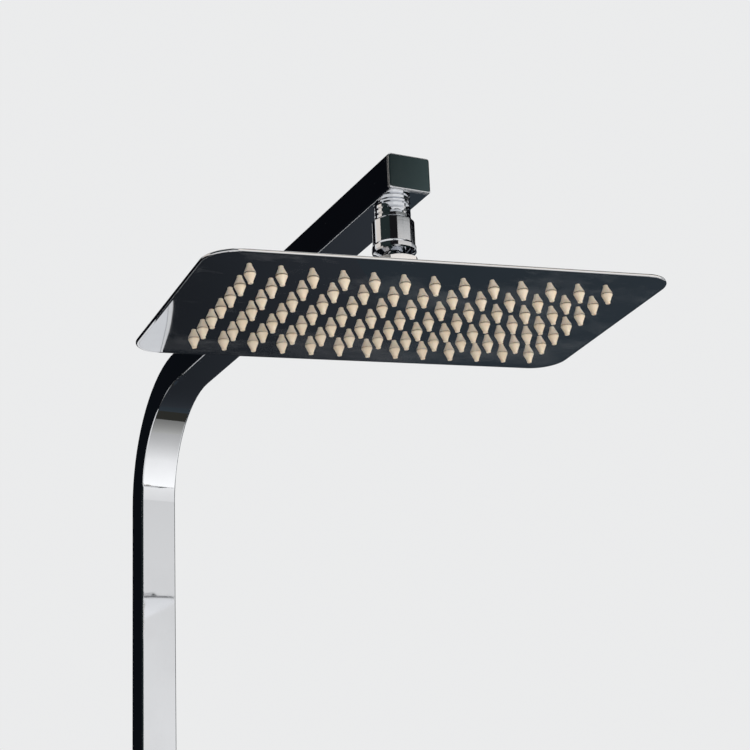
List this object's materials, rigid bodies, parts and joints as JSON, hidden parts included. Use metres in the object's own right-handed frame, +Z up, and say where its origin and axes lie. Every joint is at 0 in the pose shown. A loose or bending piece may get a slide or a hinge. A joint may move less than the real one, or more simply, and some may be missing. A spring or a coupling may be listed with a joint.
{
  "type": "shower column",
  "caption": "Wall-hung rectangular-tube shower column: a bar mixer at the foot, a bend into a level arm and a thin rectangular rain head on a ball joint.",
  "frame": {"origin": "on the wall plane, midway between the axes of the two wall unions", "axes": "+Z up along the column, +Y into the wall, so the room and the arm are on -Y; +X to the right of a person who faces the wall"},
  "size_m": [0.3083, 0.611, 1.108],
  "materials": {
    "tube_chrome": "bright chrome plate on a drawn rectangular tube",
    "fitting_chrome": "bright chrome plate on turned brass",
    "mixer_chrome": "bright chrome plate on a cast brass bar",
    "cover_chrome": "bright chrome plate on pressed sheet",
    "knob_chrome": "bright chrome plate",
    "polished_steel": "mirror-polished stainless steel sheet",
    "head_steel": "polished stainless steel sheet with a rolled rim",
    "steel_parts": "plain stainless steel",
    "bracket_post": "bright chrome plate",
    "silicone": "soft matt beige silicone",
    "seal_rubber": "black sealing rubber",
    "inner_plastic": "plain off-white moulded plastic",
    "brass_parts": "bare turned brass",
    "button_plastic": "glossy red moulded plastic"
  },
  "bodies": {
    "column": {"riser_tube": "tube_chrome", "arm_end_cap": "tube_chrome", "outlet_nipple": "fitting_chrome", "ball_stem": "fitting_chrome", "flow_limiter": "inner_plastic", "filter_screen": "steel_parts", "nipple_seal": "seal_rubber", "riser_spigot": "fitting_chrome", "riser_nut": "fitting_chrome", "riser_seal": "seal_rubber", "mixer_body": "mixer_chrome", "wall_unions": "fitting_chrome", "union_nuts": "fitting_chrome", "union_seals": "seal_rubber", "union_covers": "cover_chrome", "check_valves": "inner_plastic", "thermostat_cartridge": "inner_plastic", "thermostat_gland": "brass_parts", "diverter_cartridge": "inner_plastic", "diverter_gland": "brass_parts", "hand_outlet": "fitting_chrome", "bracket_plate": "steel_parts", "bracket_post": "bracket_post", "bracket_cover": "cover_chrome", "bracket_grub_screw": "steel_parts", "riser_stud": "steel_parts"},
    "yaw_seat": {"upper_seat": "inner_plastic"},
    "nod_seat": {"lower_seat": "inner_plastic"},
    "rain_head": {"ball_nut": "fitting_chrome", "head_boss": "head_steel", "head_pan": "head_steel", "face_plate": "polished_steel", "nozzle_mat": "silicone"},
    "thermostat_control": {"thermostat_spindle": "brass_parts", "thermostat_knob": "knob_chrome", "thermostat_screw": "steel_parts", "thermostat_cap": "knob_chrome", "button_spring": "steel_parts"},
    "stop_button": {"safety_button": "button_plastic"},
    "diverter_control": {"diverter_spindle": "brass_parts", "diverter_knob": "knob_chrome", "diverter_screw": "steel_parts", "diverter_cap": "knob_chrome"}
  },
  "joints": [
    {"name": "head_yaw", "type": "hinge", "parent": "column", "child": "yaw_seat", "pos_m": [0, -0.501, 1.009], "axis": [0, 0, 1], "continuous": true},
    {"name": "head_nod", "type": "hinge", "parent": "yaw_seat", "child": "nod_seat", "pos_m": [0, -0.501, 1.009], "axis": [0.9976, -0.0698, 0], "range_deg": [-10, 10]},
    {"name": "head_rock", "type": "hinge", "parent": "nod_seat", "child": "rain_head", "pos_m": [0, -0.501, 1.009], "axis": [0.0698, 0.9976, 0], "range_deg": [-7, 13]},
    {"name": "thermostat_turn", "type": "hinge", "parent": "column", "child": "thermostat_control", "pos_m": [0.11, -0.052, 0.008], "axis": [1, 0, 0], "range_deg": [-40, 130]},
    {"name": "stop_button_press", "type": "slide", "parent": "thermostat_control", "child": "stop_button", "axis": [0, 0, -1], "range_m": [0, 0.0014], "stiffness_N_per_m": 800, "springref_m": -0.002, "deforming": ["button_spring"]},
    {"name": "diverter_turn", "type": "hinge", "parent": "column", "child": "diverter_control", "pos_m": [-0.11, -0.052, 0.008], "axis": [-1, 0, 0], "range_deg": [-85, 85]}
  ]
}
